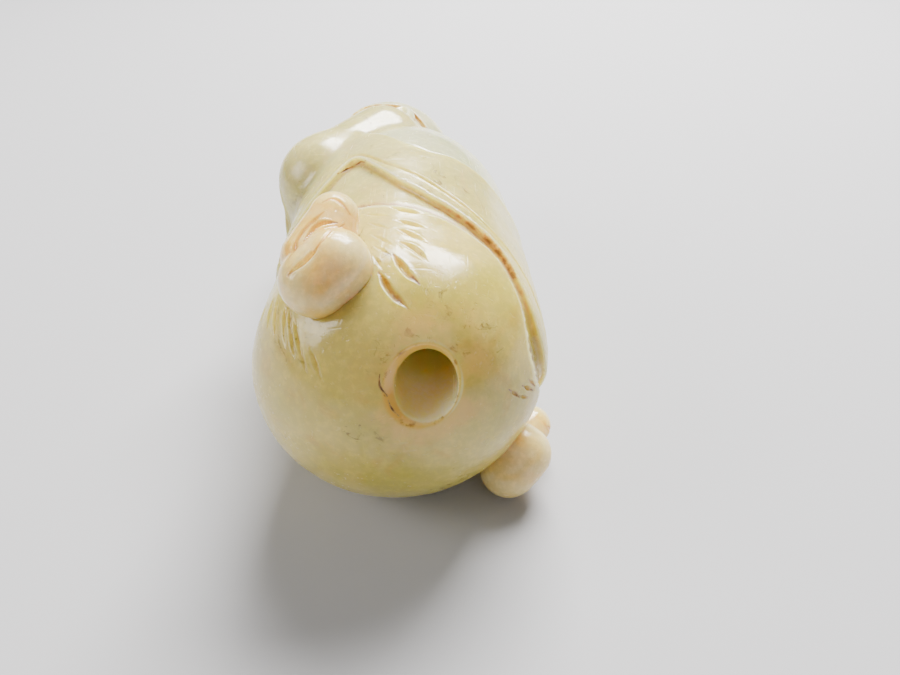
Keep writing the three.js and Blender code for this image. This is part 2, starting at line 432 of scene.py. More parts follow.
def hair(face):
    cap = np.maximum(skull(face) - 0.42, (hairline_level(face) - face[:, 1]) * 0.8)
    for side in (-1, 1):
        x = side * tuft_across
        bun = ellipsoid(face, (x, tuft_level, tuft_back), [tuft_radius] * 3)
        root = (x * 0.8, tuft_level * 0.75, tuft_back)
        tie = tapered_bar(face, root, (x * 0.87, tuft_level * 0.82, tuft_back), 2.3, 2.2)
        cap = melt(melt(cap, tie, 0.3), bun, 0.2)
    return cap


def both_sides(face):
    """The points with his right side folded over onto his left."""
    mirror = face.copy()
    mirror[:, 0] = np.abs(mirror[:, 0])
    return mirror


def features(face):
    """Cheeks, brow, nose, lips, chin and eyes on the skull, on ordinary proportions."""
    mirror = both_sides(face)
    socket = ellipsoid(mirror, (eye_across, eye_level + 0.2, 9.3), (2.6, 1.7, 1.9))
    form = cut_from(skull(face), socket, 1.3)
    cheek = ellipsoid(mirror, (4.2, nose_level - 0.9, 5.4), (3.3, 2.9, 3.1))
    eye = ellipsoid(mirror, (eye_across, eye_level, 7.0), (1.8, 1.05, 1.45))
    brow_end = (eye_across + 1.6, brow_level - 0.2, 7.35)
    brow = tapered_bar(mirror, (1.4, brow_level - 0.1, 8.55), brow_end, 0.42, 0.3)
    bridge = tapered_bar(face, (0, 1.2, 8.1), (0, nose_level + 0.6, 9.2), 0.75, 1.15)
    wing = ellipsoid(mirror, (1.15, nose_level + 0.25, 8.7), (0.8, 0.68, 0.9))
    chin = ellipsoid(face, (0, -8.2, 6.0), (2.4, 1.7, 1.9))
    upper_lip = ellipsoid(face, (0, mouth_level + 0.4, 8.35), (1.9, 0.55, 0.95))
    lower_lip = ellipsoid(face, (0, mouth_level - 0.55, 8.1), (1.5, 0.6, 1.0))
    parts = (
        (cheek, 1.6), (eye, 0.25), (brow, 1.0), (bridge, 1.4), (wing, 0.4), (chin, 1.6),
        (upper_lip, 0.3), (lower_lip, 0.25),
    )
    for part, fillet in parts:
        form = melt(form, part, fillet)
    return form


def ears(face):
    mirror = both_sides(face)
    ear = ellipsoid(mirror, (ear_across - 0.2, -1.3, -0.6), (1.35, 2.9, 1.75))
    shell = ellipsoid(mirror, (ear_across + 0.9, -1.1, 0.0), (0.8, 1.9, 0.95))
    return cut_from(ear, shell, 0.35)


def collar(points):
    """A standing band round the neck."""
    ring = ellipsoid(points, head_centre, [size + collar_stand for size in head_half_sizes])
    height = np.abs(points[:, 1] - neck_level) - collar_half_height
    return cut_from(ring, -height, 0.5)


def head_form(points):
    face = to_face(points)
    form = melt(features(face), ears(face), 0.4)
    form = melt(form, hair(face), 0.15)
    form = melt(form, collar(points), 0.3)
    return rest_on_table(form, points)


# ---- hands ----

palm_radius = 2.4
finger_radius = 0.72
finger_pitch = 1.25
thumb_radius = 0.9
thumb_tip_radius = 0.7
palm_reach = 2.6  # of its middle out of the cuff


def palm_end(arm):
    reach = wrist_radius * cuff_reach + palm_reach
    return row(arm[3]) + wrist_line(arm) * reach


def palm(points, arm):
    return tapered_bar(points, arm[3], palm_end(arm), palm_radius * 0.9, palm_radius)


def hands_form(points):
    """Two palms out of the cuffs, the left hand's fingers and thumb laid over the right hand's."""
    form = melt(palm(points, left_arm), palm(points, right_arm), 0.3)
    middle = (palm_end(left_arm) + palm_end(right_arm)) / 2
    for side, front in ((-1, 1.9), (1, 2.5)):
        for i in range(4):
            level = (1.5 - i) * finger_pitch
            knuckle = middle + (side * 2.6, level, front - 1.2)
            bend = middle + (side * 0.7, level, front)
            tip = middle + (side * -1.4, level - 0.2, front - 0.4)
            first = tapered_bar(points, knuckle, bend, finger_radius * 1.05, finger_radius)
            last = tapered_bar(points, bend, tip, finger_radius, finger_radius * 0.8)
            form = melt(form, np.minimum(first, last), 0.2)
        thumb_root = middle + (side * 2.0, 2.5, front - 1.6)
        thumb_tip = middle + (side * 0.1, 3.0, front - 0.5)
        thumb = tapered_bar(points, thumb_root, thumb_tip, thumb_radius, thumb_tip_radius)
        form = melt(form, thumb, 0.3)
    return form


# ---- from a form to a mesh ----

def corner_cells(edges, axis):
    """The four grid cells that share each grid edge, in turn round the edge's own axis."""
    steps = np.eye(3, dtype=int)
    aside = steps[(axis + 1) % 3]
    over = steps[(axis + 2) % 3]
    return [edges - aside - over, edges - over, edges, edges - aside]


def surface_net(values):
    """Vertices, in grid steps, and quads of the closed surface where the values pass zero."""
    cell_counts = np.array(values.shape) - 1
    total = np.zeros((*cell_counts, 3))
    count = np.zeros(cell_counts)
    quads = []
    inside = values < 0
    for axis in range(3):
        ahead = np.eye(3, dtype=int)[axis]
        steps = range(values.shape[axis] - 1)
        next_steps = range(1, values.shape[axis])
        edges = np.argwhere(inside.take(steps, axis) != inside.take(next_steps, axis))
        start = values[tuple(edges.T)]
        end = values[tuple((edges + ahead).T)]
        crossing = edges + ahead * (start / (start - end))[:, None]
        cells = corner_cells(edges, axis)
        for cell in cells:
            np.add.at(total, tuple(cell.T), crossing)
            np.add.at(count, tuple(cell.T), 1)
        corners = [np.ravel_multi_index(tuple(cell.T), cell_counts) for cell in cells]
        ring = np.stack(corners, axis=1)
        ring[start > 0] = ring[start > 0][:, ::-1]
        quads.append(ring)
    used = np.flatnonzero(count)
    number = np.zeros(count.size, dtype=int)
    number[used] = np.arange(used.size)
    vertices = total.reshape(-1, 3)[used] / count.reshape(-1)[used, None]
    return vertices, number[np.concatenate(quads)]


def slope_of(form, points):
    reach = 0.05
    nudges = np.eye(3, dtype=np.float32) * np.float32(reach)
    columns = [form(points + nudge) - form(points - nudge) for nudge in nudges]
    return np.stack(columns, axis=1) / (2 * reach)


def settle(form, points, rounds=2):
    """Moves the points onto the form's surface, no further than a small step each round."""
    points = np.asarray(points, dtype=np.float32)
    for _ in range(rounds):
        slope = slope_of(form, points)
        step = form(points) / np.maximum(np.einsum("ij,ij->i", slope, slope), 0.3)
        points = points - slope * np.clip(step, -0.4, 0.4)[:, None]
    return points


def net_mesh(form, low, high, step):
    """A bmesh of the form's surface, in the boy's own frame."""
    low = row(low)
    counts = [int((high[i] - low[i]) / step) + 1 for i in range(3)]
    index = np.indices(counts, dtype=np.float32).reshape(3, -1).T
    values = np.concatenate([form(low + part * step) for part in np.array_split(index, 12)])
    vertices, quads = surface_net(values.reshape(counts).astype(np.float64) + 1e-7)
    vertices = settle(form, low + vertices * step)
    mesh = bpy.data.meshes.new("net")
    mesh.from_pydata(vertices.tolist(), [], quads.tolist())
    net = bmesh.new()
    net.from_mesh(mesh)
    bpy.data.meshes.remove(mesh)
    return net


def refine_near(net, form, guides, reach):
    """Splits the edges close to any guide line once, and settles the new points."""
    tree = kdtree.KDTree(sum(len(guide.points) for guide in guides))
    number = 0
    for guide in guides:
        for point in guide.points:
            tree.insert(point, number)
            number += 1
    tree.balance()
    near = {vertex for vertex in net.verts if tree.find(vertex.co)[2] < reach}
    edges = [edge for edge in net.edges if edge.verts[0] in near and edge.verts[1] in near]
    bmesh.ops.subdivide_edges(net, edges=edges, cuts=1, use_grid_fill=True)
    points = settle(form, [vertex.co for vertex in net.verts], 1)
    for vertex, point in zip(net.verts, points.tolist()):
        vertex.co = point


# ---- guide lines for the incised lines ----

# A line on the surface to cut along: its points in mm, and the cut's size and dirt.
Guide = namedtuple("Guide", "points half_width depth dirt")


def spread_along(corners, spacing=0.25):
    """Evenly spaced points along a smooth curve through the corners."""
    corners = np.asarray(corners, dtype=np.float64)
    lead_in = corners[:1] * 2 - corners[1:2]
    lead_out = corners[-1:] * 2 - corners[-2:-1]
    padded = np.concatenate((lead_in, corners, lead_out))
    fine = []
    for i in range(len(corners) - 1):
        before, start, end, after = padded[i : i + 4]
        for share in np.linspace(0, 1, 12, endpoint=False):
            bend = (2 * before - 5 * start + 4 * end - after) * share**2
            twist = (3 * start - before - 3 * end + after) * share**3
            fine.append(start + ((end - before) * share + bend + twist) / 2)
    fine = np.array(fine + [corners[-1]])
    lengths = np.concatenate(([0], np.cumsum(np.linalg.norm(np.diff(fine, axis=0), axis=1))))
    stations = np.linspace(0, lengths[-1], max(int(lengths[-1] / spacing), 2) + 1)
    return np.stack([np.interp(stations, lengths, fine[:, i]) for i in range(3)], axis=1)


def level_ring(centre, radius, spacing):
    """Points round a level circle, this many degrees apart."""
    x, y, z = centre
    turns = [math.radians(angle) for angle in range(0, 361, spacing)]
    return [(x + radius * math.sin(turn), y, z + radius * math.cos(turn)) for turn in turns]


def cut_line(form, corners, half_width, depth, dirt):
    """A guide through the corners, laid down on the form's surface."""
    return Guide(settle(form, spread_along(corners), 8), half_width, depth, dirt)


def line_round_body(stops, first, last, half_width, depth, dirt, lift=0.0):
    """A guide round the body between two angles from the back, at the stops' levels."""
    angles = np.radians(np.arange(first, last, 1.0))
    aim = np.stack((np.sin(angles), np.zeros(angles.size), -np.cos(angles)), axis=1)
    start = np.array((jacket_middle[0], 0, jacket_middle[2]))
    points = (start + aim * 12.0).astype(np.float32)
    points[:, 1] = level_round_body(points, stops) + lift
    for _ in range(8):
        gap = clothed_body(points)
        points = points - (aim * np.clip(gap, -1.5, 1.5)[:, None]).astype(np.float32)
    return Guide(points, half_width, depth, dirt)


# Gathers beside the shoes, each from its end at the shoe to its end on the trousers.
left_back_gathers = (
    ((12.6, 6.3, -8.4), (11.5, 5.6, -9.9), (10.3, 5.3, -11.2)),
    ((12.2, 3.8, -9.0), (11.2, 3.2, -10.3), (10.1, 2.7, -11.4)),
    ((12.1, 2.3, -9.1), (11.1, 1.2, -10.4), (10.1, 0.2, -11.5)),
    ((11.9, 0.1, -9.4), (10.7, -1.2, -10.7), (9.7, -2.6, -11.4)),
)
left_pitted_gathers = (
    ((11.9, -1.9, -9.1), (10.7, -3.9, -9.8), (9.5, -5.0, -10.4)),
    ((12.1, -3.9, -7.8), (10.8, -5.8, -8.3), (9.2, -7.1, -9.0)),
)
left_short_gathers = (
    ((13.8, 5.5, -6.2), (12.4, 4.5, -8.7)),
    ((13.5, 3.7, -6.8), (12.3, 2.1, -8.8)),
    ((13.3, 1.5, -7.2), (12.0, -0.6, -9.1)),
    ((13.0, -0.5, -7.5), (12.0, -2.0, -8.9)),
    ((12.9, -1.8, -7.5), (11.9, -3.8, -8.2)),
    ((12.7, -3.2, -7.2), (12.1, -4.7, -7.3)),
)
left_front_gathers = (
    ((14.0, 0.4, 5.3), (13.3, -1.8, 6.7)),
    ((14.4, -0.5, 3.8), (13.4, -4.1, 4.9)),
    ((14.6, -1.1, 2.8), (12.9, -5.8, 3.9)),
    ((14.4, -3.0, 1.6), (12.2, -7.3, 2.8)),
    ((14.2, -3.9, 1.1), (11.4, -8.4, 2.1)),
    ((13.7, -5.2, 0.8), (10.2, -9.6, 1.5)),
    ((11.8, -8.1, 0.1), (9.3, -10.4, 0.4)),
)
right_pits = (
    ((-2.8, -8.7, -11.4), (-4.9, -8.0, -11.3)),
    ((-4.6, -8.1, -11.4), (-6.3, -7.1, -11.5)),
    ((-4.2, -7.5, -12.1), (-6.5, -6.2, -12.0)),
    ((-4.6, -6.6, -12.6), (-6.4, -5.8, -12.3)),
)
jacket_opening = ((3.2, 35.5, 10.0), (2.6, 22.0, 12.5), (1.4, 10.5, 13.0))
slit_stains = (
    ((14.7, 17.5, -4.1), (14.6, 17.2, -5.1), (14.3, 16.4, -6.4)),
    ((15.4, 16.1, -2.5), (15.0, 16.9, -3.2), (14.7, 17.4, -3.9)),
)
mouth_cracks = (
    ((7.3, -10.9, -4.6), (6.7, -11.4, -4.1), (5.4, -11.5, -3.7)),
    ((5.1, -11.7, -3.6), (4.3, -12.0, -3.4), (3.3, -12.3, -3.5)),
)


def body_guides():
    form = body_form
    guides = [
        line_round_body(border_stops, -180, 180, 0.3, 0.26, 0.3),
        line_round_body(rim_stops, -160, 125, 0.8, 0.06, 0.5, lift=0.6),
        line_round_body(hem_stops, -150, 125, 0.3, 0.0, 0.0),
        line_round_body(waist_stops, -60, 70, 0.5, 0.2, 0.25),
        line_round_body(waist_stops, -50, 60, 0.25, 0.08, 0.1, lift=0.9),
    ]
    right_front_gathers = [
        [(-x - 1.6, y, z + 0.2) for x, y, z in corners] for corners in left_front_gathers[1:]
    ]
    bore_end = (bore_left + 0.2, bore_mouth, -bore_back)
    mouth_ring = level_ring(bore_end, bore_radius + 0.3, 10)  # only makes the mesh fine there
    cuts = (
        (left_back_gathers, 0.45, 0.3, 0.08),
        (left_pitted_gathers, 0.42, 0.36, 0.95),
        (left_short_gathers, 0.3, 0.14, 0.1),
        (left_front_gathers, 0.3, 0.26, 0.08),
        (right_pits, 0.34, 0.32, 1.0),
        (right_front_gathers, 0.3, 0.24, 0.2),
        (slit_stains, 0.26, 0.1, 0.9),
        (mouth_cracks, 0.2, 0.14, 1.0),
        ((mouth_ring,), 0.2, 0.0, 0.0),
        ((jacket_opening,), 0.3, 0.25, 0.5),
    )
    for lines, half_width, depth, dirt in cuts:
        guides += [cut_line(form, corners, half_width, depth, dirt) for corners in lines]
    for arm, side in ((left_arm, 1), (right_arm, -1)):
        guides += sleeve_guides(form, arm, side)
    return guides


def sleeve_guides(form, arm, side):
    """Three soft folds that run round the elbow and hang from the wrist."""
    elbow = np.array(arm[1])
    drape = np.array(arm[2])
    guides = []
    for i in range(3):
        spread = 0.35 + 0.3 * i
        start = elbow + np.array((3.8 * side, 4.0 - 3.2 * i, 1.0 + 1.5 * i))
        middle = elbow + (drape - elbow) * spread + np.array((2.6 * side, -2.0 - 1.2 * i, 4.6))
        end = drape + np.array((0.6 * side, -3.4 + 1.6 * i, 4.4))
        guides.append(cut_line(form, (start, middle, end), 0.55, 0.24, 0.3))
    return guides


def shoe_guides(form, toe, side):
    """The seam between toe and upper, an arc cut beside it, and soft folds in the upper."""
    cuts = (
        (((2.4, -2.6, 1.5), (2.3, -1.9, -0.4), (2.4, -0.7, -2.0)), 0.38, 0.42, 0.6),
        (((2.3, -1.3, -1.2), (2.4, -0.2, -2.3), (1.1, 3.1, -2.9)), 0.24, 0.16, 0.5),
        (((2.9, 0.6, -0.2), (2.8, 2.2, -1.4), (1.7, 2.8, -2.6)), 0.36, 0.34, 0.8),
        (((2.9, -1.2, 1.2), (3.3, 1.5, 0.1), (2.9, 3.6, -2.0)), 0.4, 0.12, 0.4),
        (((3.2, 4.7, -2.0), (2.6, 5.0, -2.8), (1.1, 4.3, -3.3)), 0.3, 0.12, 0.4),
    )
    guides = []
    for corners, half_width, depth, dirt in cuts:
        placed = [(toe[0] + x * side, toe[1] + y, toe[2] + z) for x, y, z in corners]
        guides.append(cut_line(form, placed, half_width, depth, dirt))
    return guides


def hairline():
    radius = 8.6
    line = []
    for angle in range(-180, 180, 4):
        turned = math.radians(angle)
        aim = np.array([[math.sin(turned), 0, math.cos(turned)]])
        level = hairline_level(aim)[0] - 0.1
        line.append((aim[0, 0] * radius, level, aim[0, 2] * radius))
    return line


def eye_lines(side):
    """The lid's upper edge and the line under the eye."""
    x = eye_across * side
    level = eye_level
    lid = [(x - 1.7, level - 0.1, 8.0), (x, level + 0.55, 8.3), (x + 1.7, level - 0.1, 7.4)]
    under = [(x - 1.6, level - 0.2, 8.0), (x, level - 0.75, 8.2), (x + 1.6, level - 0.2, 7.4)]
    return [(lid, 0.2, 0.14, 0.8), (under, 0.18, 0.1, 0.5)]


def combed_lines(side):
    """Hair lines that run from all round into one tuft."""
    middle = tuft_across * side
    lines = []
    for i in range(9):
        angle = math.radians(-160 + 40 * i)
        across = math.cos(angle)
        front = math.sin(angle)
        start = (middle * 0.9 + across * 2.1, tuft_level - 1.2, tuft_back + front * 2.1)
        end = ((middle + across * 5.2) * 0.97, 6.6, tuft_back + front * 5.2)
        lines.append(([start, end], 0.22, 0.13, 0.35))
    return lines


def head_guides():
    face_lines = [(hairline(), 0.3, 0.12, 0.6)]
    for side in (-1, 1):
        face_lines += eye_lines(side) + combed_lines(side)
    mouth = [(-1.9, mouth_level, 8.3), (0, mouth_level - 0.15, 9.0), (1.9, mouth_level, 8.3)]
    face_lines.append((mouth, 0.2, 0.18, 0.8))
    guides = []
    for corners, half_width, depth, dirt in face_lines:
        placed = from_face(row(corners))
        guides.append(cut_line(head_form, placed, half_width, depth, dirt))
    collar_seam = (head_centre[0], neck_level + 0.6, head_centre[2])
    guides.append(cut_line(head_form, level_ring(collar_seam, 8.0, 12), 0.25, 0.14, 0.2))
    return guides


def hand_guides():
    """A crease across each palm where it comes out of the cuff."""
    guides = []
    for arm in (left_arm, right_arm):
        wrist = np.array(arm[3]) + wrist_line(arm) * 3.4
        corners = (wrist + (0, 2.4, 0), wrist + (1.2, 0.2, 1.6), wrist + (0, -2.2, 0))
        guides.append(cut_line(hands_form, corners, 0.25, 0.1, 0.3))
    return guides


def guide_object(guides):
    """The guides as edges, each with its cut's half width and depth, in metres, and its dirt."""
    points = []
    edges = []
    values = {"half_width": [], "depth": [], "dirt": []}
    for guide in guides:
        first = len(points)
        points += to_frame(guide.points).tolist()
        count = len(guide.points) - 1
        edges += [(first + i, first + i + 1) for i in range(count)]
        for i in range(count):
            fade = min(1.0, (i + 0.5) / 5, (count - i - 0.5) / 5)
            values["half_width"].append(guide.half_width * mm * (0.25 + 0.75 * fade))
            values["depth"].append(guide.depth * mm * fade)
            values["dirt"].append(guide.dirt)
    mesh = bpy.data.meshes.new("guides")
    mesh.from_pydata(points, edges, [])
    for name, numbers in values.items():
        attribute = mesh.attributes.new(name, "FLOAT", "EDGE")
        attribute.data.foreach_set("value", numbers)
    guide_lines = bpy.data.objects.new("guides", mesh)
    put(guide_lines)
    return guide_lines


# ---- the node tree that cuts the lines ----

class Tree:
    """Adds nodes to a node tree and links what feeds them."""

    def __init__(self, tree):
        self.tree = tree

    def add(self, kind, inputs=None, **settings):
        node = self.tree.nodes.new(kind)
        for name, value in settings.items():
            setattr(node, name, value)
        for name, value in (inputs or {}).items():
            self.feed(node.inputs[name], value)
        return node

    def feed(self, socket, value):
        if isinstance(value, bpy.types.NodeSocket):
            self.tree.links.new(value, socket)
        else:
            socket.default_value = value

    def math(self, operation, first, second=0.0):
        return self.add("ShaderNodeMath", {0: first, 1: second}, operation=operation).outputs[0]

    def times(self, first, second):
        return self.math("MULTIPLY", first, second)

    def fade(self, value, low, high, at_low=0.0, at_high=1.0):
        """Eases from one value to another as the input passes from low to high."""
        node = self.add("ShaderNodeMapRange", interpolation_type="SMOOTHSTEP")
        for index, number in enumerate((value, low, high, at_low, at_high)):
            self.feed(node.inputs[index], number)
        return node.outputs[0]


a_number = "NodeSocketFloat"
a_colour = "NodeSocketColor"
a_vector = "NodeSocketVector"
a_geometry = "NodeSocketGeometry"


def new_group(kind, name, inputs, outputs):
    """A node group with named sockets: its tree, what it is given and where its results go."""
    group = bpy.data.node_groups.new(name, kind)
    for in_out, sockets in (("INPUT", inputs), ("OUTPUT", outputs)):
        for label, socket in sockets:
            group.interface.new_socket(label, in_out=in_out, socket_type=socket)
    tree = Tree(group)
    given = tree.add("NodeGroupInput").outputs
    result = tree.add("NodeGroupOutput").inputs
    return tree, given, result


def sampled_guide_value(tree, guides, index, name):
    attribute = tree.add("GeometryNodeInputNamedAttribute", {"Name": name}, data_type="FLOAT")
    sample = tree.add("GeometryNodeSampleIndex", {"Geometry": guides, "Index": index},
                      data_type="FLOAT", domain="EDGE")
    tree.feed(sample.inputs["Value"], attribute.outputs["Attribute"])
    return sample.outputs["Value"]


lip_height = 0.16  # of the raised lip beside a cut, as a share of its depth


def cut_profile(tree, distance, half_width):
    """How deep a cut is at a distance from its guide: a groove with a slight lip beside it."""
    groove = tree.fade(distance, 0.0, half_width, 1.0, 0.0)
    lip_start = tree.times(half_width, 0.7)
    lip_top = tree.times(half_width, 1.1)
    lip_end = tree.times(half_width, 1.9)
    rise = tree.fade(distance, lip_start, half_width, 0.0, lip_height)
    fall = tree.fade(distance, lip_top, lip_end, 0.0, lip_height)
    profile = tree.math("SUBTRACT", groove, tree.math("SUBTRACT", rise, fall))
    tremor = tree.add("ShaderNodeTexNoise", {"Scale": 700.0, "Detail": 2.0}).outputs[0]
    return tree.times(profile, tree.fade(tremor, 0.25, 0.75, 0.6, 1.3))


def carving_tree():
    """Cuts the guide lines into a stone, gives it a hand-rubbed unevenness and stores the cuts."""
    inputs = (
        ("Geometry", a_geometry), ("Guides", "NodeSocketObject"), ("Unevenness", a_number),
        ("Ripple Scale", a_number), ("Material", "NodeSocketMaterial"),
    )
    outputs = (("Geometry", a_geometry),)
    tree, given, result = new_group("GeometryNodeTree", "carve_lines", inputs, outputs)
    guides = tree.add("GeometryNodeObjectInfo", {"Object": given["Guides"]}).outputs["Geometry"]
    proximity = tree.add("GeometryNodeProximity", {0: guides}, target_element="EDGES")
    distance = proximity.outputs["Distance"]
    nearest = tree.add("GeometryNodeSampleNearest", {"Geometry": guides}, domain="EDGE").outputs[0]
    half_width = sampled_guide_value(tree, guides, nearest, "half_width")
    depth = sampled_guide_value(tree, guides, nearest, "depth")
    dirt = sampled_guide_value(tree, guides, nearest, "dirt")
    cut = tree.times(cut_profile(tree, distance, half_width), depth)
    ripple = tree.add("ShaderNodeTexNoise", {"Scale": given["Ripple Scale"], "Detail": 1.5})
    rubbed = tree.times(tree.math("SUBTRACT", ripple.outputs[0], 0.5), given["Unevenness"])
    normal = tree.add("GeometryNodeInputNormal").outputs[0]
    offset = tree.add("ShaderNodeVectorMath", {0: normal}, operation="SCALE")
    tree.feed(offset.inputs["Scale"], tree.math("SUBTRACT", rubbed, cut))
    moved = tree.add("GeometryNodeSetPosition", {"Geometry": given["Geometry"]})
    tree.feed(moved.inputs["Offset"], offset.outputs[0])
    grime_start = tree.times(half_width, 0.15)
    grime_end = tree.times(half_width, 1.15)
    grime = tree.times(tree.fade(distance, grime_start, grime_end, 1.0, 0.0), dirt)
    stored = tree.add("GeometryNodeStoreNamedAttribute", data_type="FLOAT", domain="POINT")
    tree.feed(stored.inputs["Geometry"], moved.outputs[0])
    tree.feed(stored.inputs["Name"], "cut")
    tree.feed(stored.inputs["Value"], grime)
    painted = tree.add("GeometryNodeSetMaterial", {"Geometry": stored.outputs[0]})
    tree.feed(painted.inputs["Material"], given["Material"])
    smooth = tree.add("GeometryNodeSetShadeSmooth", {"Geometry": painted.outputs[0]})
    real = tree.add("GeometryNodeRealizeInstances", {"Geometry": smooth.outputs[0]})
    tree.feed(result["Geometry"], real.outputs[0])
    return tree.tree


def set_input(modifier, name, value):
    for item in modifier.node_group.interface.items_tree:
        if item.item_type == "SOCKET" and item.in_out == "INPUT" and item.name == name:
            modifier[item.identifier] = value


# ---- pieces ----

def mask_attribute(mesh, name, numbers):
    attribute = mesh.attributes.new(name, "FLOAT", "POINT")
    attribute.data.foreach_set("value", np.clip(numbers, 0, 1).astype(np.float32))


def outward_normals(form, points):
    slope = slope_of(form, points)
    return slope / np.maximum(length_of(slope), 1e-6)[:, None]


def bore_masks(mesh, points):
    """Marks the bore, its mouth, the stains round them and the painted light on the lower wall by
    the mouth. Gives back where bore and mouth are.
    """
    level = points[:, 1]
    from_bore, from_flare = from_bore_axes(points)
    at_seat = np.clip((2.0 - level) / 8.0, 0, 1)
    in_bore = np.clip((bore_radius + 0.12 - from_bore) / 0.15, 0, 1)
    in_bore *= np.clip(bore_floor + 1.0 - level, 0, 1)
    in_mouth = np.clip((bore_radius + 0.75 - from_flare) / 0.3, 0, 1) * at_seat
    mask_attribute(mesh, "warm", (1.0 - (from_bore - bore_radius) / 6.5) * at_seat)
    mask_attribute(mesh, "bore", in_bore)
    mask_attribute(mesh, "flare", in_mouth * (1.0 - in_bore))
    from_edge = np.abs(from_flare - bore_radius - flare_width / 2)
    at_surface = np.clip(1.0 + trouser_ball(points) / 0.5, 0, 1)
    mask_attribute(mesh, "mouth_edge", (1.0 - from_edge / 0.3) * at_surface * at_seat)
    # The lower wall by the mouth, fading deeper in: a frosted grind, and painted light where the
    # light falls in at the mouth.
    lower_wall = np.clip(0.35 - (points[:, 0] - bore_left) / bore_radius, 0, 1)
    near_mouth = np.clip((-5.5 - level) / 2.5, 0, 1)
    mask_attribute(mesh, "frost_and_light", in_bore * lower_wall * near_mouth)
    return in_bore, in_mouth


def add_masks(mesh, form, points):
    """Where the stone is hollow, edged, pale and stained, from the forms it was cut from."""
    in_bore, in_mouth = bore_masks(mesh, points)
    normals = outward_normals(form, points)
    hollow = 1.0 - form(points + normals * 0.9) / 0.9
    fine_hollow = 1.0 - form(points + normals * 0.35) / 0.35
    hollow = np.maximum(hollow * 1.3, fine_hollow * 1.5)
    level = points[:, 1]
    above_rim = np.clip(level - level_round_body(points, rim_stops) - 2.2, 0, 1)
    under_jacket = above_rim * np.clip(20.0 - level, 0, 1)
    clean = np.maximum(np.maximum(in_mouth, in_bore * 0.95), under_jacket * 0.8)
    mask_attribute(mesh, "hollow", hollow * (1.0 - clean))
    edged = 1.0 + form(points - normals * 0.45) / 0.45
    mask_attribute(mesh, "edged", edged * 2.0 * (1.0 - in_mouth))
    sleeves = np.clip(2.0 - sleeve(points, left_arm), 0, 1)
    above_waist = np.clip((level - level_round_body(points, waist_stops)) / 1.2, 0, 1)
    up_body = np.clip((level + 3.0) / 50.0, 0, 0.5)
    mask_attribute(mesh, "pale", np.maximum(above_waist * (1.0 - sleeves), up_body))


refine_reaches = (1.3, 0.65)  # from a guide, for each time that the mesh is split there


def rough_stone(name, form, low, high, step, guides):
    """The uncut piece: meshed from its form, finer near the guides, with its masks."""
    net = net_mesh(form, low, high, step)
    for reach in refine_reaches:
        refine_near(net, form, guides, reach)
    bmesh.ops.triangulate(net, faces=[face for face in net.faces if len(face.verts) != 4])
    bmesh.ops.recalc_face_normals(net, faces=net.faces)
    mesh = bpy.data.meshes.new(name)
    net.to_mesh(mesh)
    net.free()
    points = np.empty(len(mesh.vertices) * 3, dtype=np.float32)
    mesh.vertices.foreach_get("co", points)
    points = settle(form, points.reshape(-1, 3), 1)
    add_masks(mesh, form, points)
    mesh.vertices.foreach_set("co", to_frame(points).astype(np.float32).ravel())
    mesh.update()
    rough = bpy.data.objects.new(name + "_rough", mesh)
    put(rough)
    return rough


def carve(name, form, low, high, step, guides, material, unevenness, ripple_scale, nodes):
    """One piece of the stone, cut along its guides and attached to the root body."""
    rough = rough_stone(name, form, low, high, step, guides)
    guide_lines = guide_object(guides)
    modifier = rough.modifiers.new("carving", "NODES")
    modifier.node_group = carving
    set_input(modifier, "Guides", guide_lines)
    set_input(modifier, "Unevenness", unevenness * mm)
    set_input(modifier, "Ripple Scale", ripple_scale)
    set_input(modifier, "Material", material)
    evaluated = rough.evaluated_get(bpy.context.evaluated_depsgraph_get())
    finished = bpy.data.meshes.new_from_object(evaluated)
    piece = bpy.data.objects.new(name, finished)
    piece.data.name = name
    put(piece)
    for scrap in (rough, guide_lines):
        bpy.data.objects.remove(scrap)
    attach(piece, "root")
    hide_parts(*nodes)
    print(name, len(finished.polygons), "faces")


# ---- materials ----

def mix(tree, share, first, second, blend="MIX"):
    node = tree.add("ShaderNodeMix", data_type="RGBA", blend_type=blend)
    tree.feed(node.inputs["Factor"], share)
    tree.feed(node.inputs[6], first)
    tree.feed(node.inputs[7], second)
    return node.outputs[2]


def stone_noise(tree, scale, detail=4.0, roughness=0.55, distortion=0.0, stretch=(1, 1, 1)):
    """Noise that stays with the stone, in Object coordinates. The scale is per metre."""
    where = tree.add("ShaderNodeTexCoord").outputs["Object"]
    placed = tree.add("ShaderNodeMapping", {"Vector": where, "Scale": stretch})
    noise = tree.add("ShaderNodeTexNoise", {
        "Vector": placed.outputs[0], "Scale": scale, "Detail": detail, "Roughness": roughness,
        "Distortion": distortion,
    })
    return noise.outputs["Fac"]


def mask(tree, name):
    node = tree.add("ShaderNodeAttribute", attribute_name=name, attribute_type="GEOMETRY")
    return node.outputs["Fac"]


def cloudy_jade_group():
    """The stone's own colour: broad clouds, fine flecks and darker veils."""
    inputs = [(label, a_colour) for label in ("Light", "Deep", "Veil")]
    inputs.append(("Cloud Scale", a_number))
    outputs = (("Color", a_colour),)
    tree, given, result = new_group("ShaderNodeTree", "cloudy_jade", inputs, outputs)
    broad = stone_noise(tree, given["Cloud Scale"], 3.0, 0.5, 0.6)
    clouds = tree.fade(broad, 0.36, 0.66)
    colour = mix(tree, clouds, given["Light"], given["Deep"])
    veil = tree.fade(stone_noise(tree, 210.0, 5.0, 0.6, 1.2, (1, 0.45, 1)), 0.52, 0.74, 0.0, 0.45)
    colour = mix(tree, veil, colour, given["Veil"])
    fleck = tree.fade(stone_noise(tree, 1500.0, 3.0, 0.6), 0.42, 0.7, 0.93, 1.08)
    shade = tree.add("ShaderNodeCombineColor", {0: fleck, 1: fleck, 2: fleck}).outputs[0]
    colour = mix(tree, 1.0, colour, shade, "MULTIPLY")
    tree.feed(result["Color"], colour)
    return tree.tree


